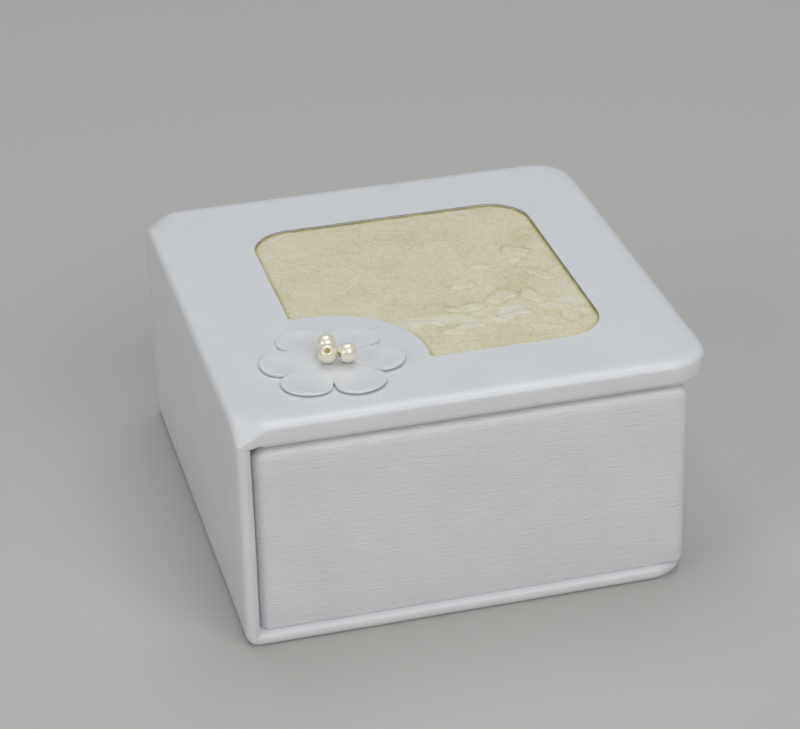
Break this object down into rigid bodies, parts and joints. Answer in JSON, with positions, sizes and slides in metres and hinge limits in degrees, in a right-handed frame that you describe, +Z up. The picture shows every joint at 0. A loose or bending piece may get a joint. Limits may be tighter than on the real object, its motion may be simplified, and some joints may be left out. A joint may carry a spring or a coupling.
{
  "type": "ring box",
  "caption": "Square white leatherette ring box with a book-style hinged lid, a recessed cream window, a petal flower with beads, and a padded tray inside.",
  "frame": {"origin": "on the surface that the box stands on, below the middle of its outline seen from above", "axes": "+Z up; -X the spine with the leatherette hinge, +X the edge where the lid lifts; -Y the front in the picture, on the flower's side"},
  "size_m": [0.08, 0.0826, 0.0454],
  "materials": {
    "case_leatherette": "pearl-white leatherette, satin",
    "tray_leatherette": "pearl-white leatherette, satin, fine sideways grain",
    "panel": "cream crinkled paper with a soft sheen",
    "bead": "pearlescent ivory",
    "magnet": "nickel plated",
    "lining": "matt ivory lining",
    "cushion_cover": "ivory satin",
    "foam": "open-cell foam",
    "board": "grey board"
  },
  "bodies": {
    "base": {"case_wrap": "case_leatherette", "hinge_wrap": "case_leatherette", "bottom_board": "board", "spine_board": "board", "tray_wrap": "tray_leatherette", "tray_lining": "lining", "tray_floor_board": "board", "tray_front_board": "board", "tray_back_board": "board", "tray_hinge_board": "board", "tray_fore_board": "board", "tray_magnet_front": "magnet", "tray_magnet_back": "magnet", "cushion_card": "board", "roll_cover_hinge": "cushion_cover", "roll_cover_middle": "cushion_cover", "roll_cover_fore": "cushion_cover", "roll_foam_hinge": "foam", "roll_foam_middle": "foam", "roll_foam_fore": "foam"},
    "lid": {"lid_wrap": "case_leatherette", "lid_frame_board": "board", "lid_backing_board": "board", "window_panel": "panel", "lid_liner": "lining", "lid_magnet_front": "magnet", "lid_magnet_back": "magnet", "flower": "case_leatherette", "pearl_back": "bead", "pearl_front": "bead", "pearl_right": "bead"}
  },
  "joints": [
    {"name": "lid_hinge", "type": "hinge", "parent": "base", "child": "lid", "pos_m": [-0.0395, 0, 0.0403], "axis": [0, -1, 0], "range_deg": [0, 178], "deforming": ["hinge_wrap"]}
  ]
}
